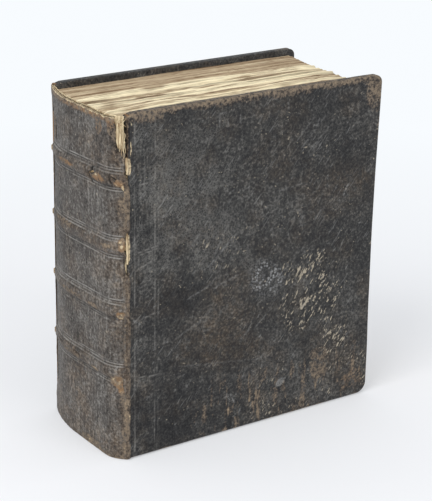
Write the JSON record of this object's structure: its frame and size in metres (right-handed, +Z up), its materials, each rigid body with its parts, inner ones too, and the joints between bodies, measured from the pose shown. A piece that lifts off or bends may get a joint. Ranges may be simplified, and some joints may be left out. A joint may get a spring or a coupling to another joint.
{
  "type": "antique leather book",
  "caption": "Thick antique book in worn dark leather over boards, with a rounded back, raised bands, plain ruled lines and uneven cream page edges; both covers open.",
  "frame": {"origin": "bottom centre of the closed book standing on its tail", "axes": "+Z up from tail to head; +X from the spine to the fore-edge; -Y out of the front cover"},
  "size_m": [0.179, 0.0848, 0.2],
  "materials": {
    "leather": "worn matte, scuffed to tan at edges",
    "paper": "aged rag paper, matte",
    "board": "raw, not seen",
    "cord": "hemp, matte",
    "lining": "undyed parchment, matte"
  },
  "bodies": {
    "book_block": {"text_block": "paper", "band_cord_1": "cord", "band_cord_2": "cord", "band_cord_3": "cord", "band_cord_4": "cord", "spine_lining_1": "lining", "spine_lining_2": "lining", "spine_lining_3": "lining", "spine_lining_4": "lining", "spine_lining_5": "lining", "spine_leather": "leather"},
    "front_cover": {"front_board": "board", "front_leather": "leather", "front_pastedown": "paper", "front_slip_1": "cord", "front_slip_2": "cord", "front_slip_3": "cord", "front_slip_4": "cord"},
    "back_cover": {"back_board": "board", "back_leather": "leather", "back_pastedown": "paper", "back_slip_1": "cord", "back_slip_2": "cord", "back_slip_3": "cord", "back_slip_4": "cord"}
  },
  "joints": [
    {"name": "front_joint", "type": "hinge", "parent": "book_block", "child": "front_cover", "pos_m": [-0.0805, -0.0398, 0], "axis": [0, 0, -1], "range_deg": [0, 180]},
    {"name": "back_joint", "type": "hinge", "parent": "book_block", "child": "back_cover", "pos_m": [-0.0805, 0.0428, 0], "axis": [0, 0, 1], "range_deg": [0, 180]}
  ]
}
